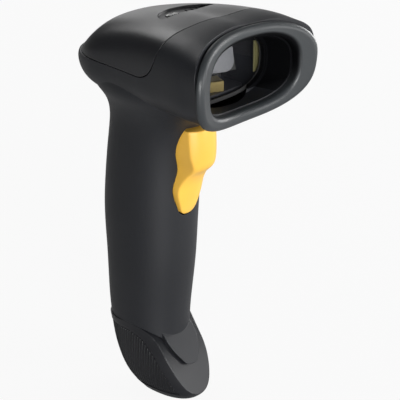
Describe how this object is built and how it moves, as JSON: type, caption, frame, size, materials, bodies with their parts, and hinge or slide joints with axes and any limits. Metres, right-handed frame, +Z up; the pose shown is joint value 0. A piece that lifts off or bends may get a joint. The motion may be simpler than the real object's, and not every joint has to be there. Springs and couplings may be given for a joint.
{
  "type": "handheld barcode scanner",
  "caption": "Pistol-grip laser barcode scanner with hooded window, rubber bumper, sprung trigger, ribbed boot and cable socket.",
  "frame": {"origin": "centre of the round cable collar, on the flat sole of the boot", "axes": "+Z up along the grip; the scan window faces -Y; X across, the scanner is symmetric about X = 0 outside"},
  "size_m": [0.0648, 0.083, 0.1597],
  "materials": {
    "housing_black": "fine textured moulding",
    "cover_black": "satin moulding",
    "boot_black": "satin moulding with fine ribs",
    "bumper_grey": "soft rubber",
    "window_clear": "clear polished pane",
    "seal_black": "closed foam",
    "trigger_yellow": "smooth satin moulding",
    "steel": "ground rod",
    "spring_steel": "drawn wire",
    "switch_black": "moulded case",
    "switch_white": "moulded plunger",
    "carrier_black": "moulded frame",
    "board_green": "solder mask",
    "chip_black": "moulded chip",
    "connector_ivory": "moulded connector",
    "jack_black": "moulded jack",
    "contact_gold": "plated contacts",
    "laser_brass": "turned brass",
    "chassis_grey": "die-cast tray, painted",
    "mirror_carrier": "moulded carrier with mirrored face",
    "mirror_face": "coated dish",
    "coil_copper": "enamelled winding",
    "detector_black": "moulded package",
    "ribbon_white": "flat flexible cable",
    "lens_clear": "frosted clear window",
    "beeper_black": "moulded case",
    "clip_olive": "stamped and coated leaf",
    "screw_steel": "zinc plated"
  },
  "bodies": {
    "scanner": {"housing": "housing_black", "top_cover": "cover_black", "boot": "boot_black", "bumper": "bumper_grey", "scan_window": "window_clear", "window_seal": "seal_black", "trigger_pin": "steel", "trigger_spring": "spring_steel", "trigger_switch": "switch_black", "board_carrier": "carrier_black", "main_board": "board_green", "engine_board": "board_green", "jack_board": "board_green", "decoder_chip": "chip_black", "board_connector": "connector_ivory", "engine_connector": "connector_ivory", "cable_jack": "jack_black", "jack_contacts": "contact_gold", "laser_module": "laser_brass", "engine_chassis": "chassis_grey", "collector_mirror": "mirror_face", "drive_coil": "coil_copper", "photodetector": "detector_black", "ribbon_cable": "ribbon_white", "status_lens": "lens_clear", "beeper": "beeper_black", "window_clip_1": "clip_olive", "window_clip_2": "clip_olive", "cover_screw_1": "screw_steel", "cover_screw_2": "screw_steel", "engine_screw_1": "screw_steel", "engine_screw_2": "screw_steel", "boot_screw": "screw_steel"},
    "trigger": {"trigger": "trigger_yellow"},
    "plunger": {"switch_plunger": "switch_white"},
    "mirror": {"scan_mirror": "mirror_carrier"}
  },
  "joints": [
    {"name": "trigger_pull", "type": "hinge", "parent": "scanner", "child": "trigger", "pos_m": [0, -0.0086, 0.084], "axis": [-1, 0, 0], "range_deg": [0, 3.5], "stiffness_Nm_per_rad": 0.6, "springref_deg": -2.86, "deforming": ["trigger_spring"]},
    {"name": "switch_press", "type": "slide", "parent": "scanner", "child": "plunger", "axis": [0, 1, 0], "range_m": [0, 0.001]},
    {"name": "mirror_scan", "type": "hinge", "parent": "scanner", "child": "mirror", "pos_m": [0.0126, -0.0165, 0.135], "axis": [0, 0, 1], "range_deg": [-8, 8], "stiffness_Nm_per_rad": 0.002}
  ],
  "couplings": [
    {"joint": "switch_press", "follows": "trigger_pull", "m_per_rad": 0.016}
  ]
}
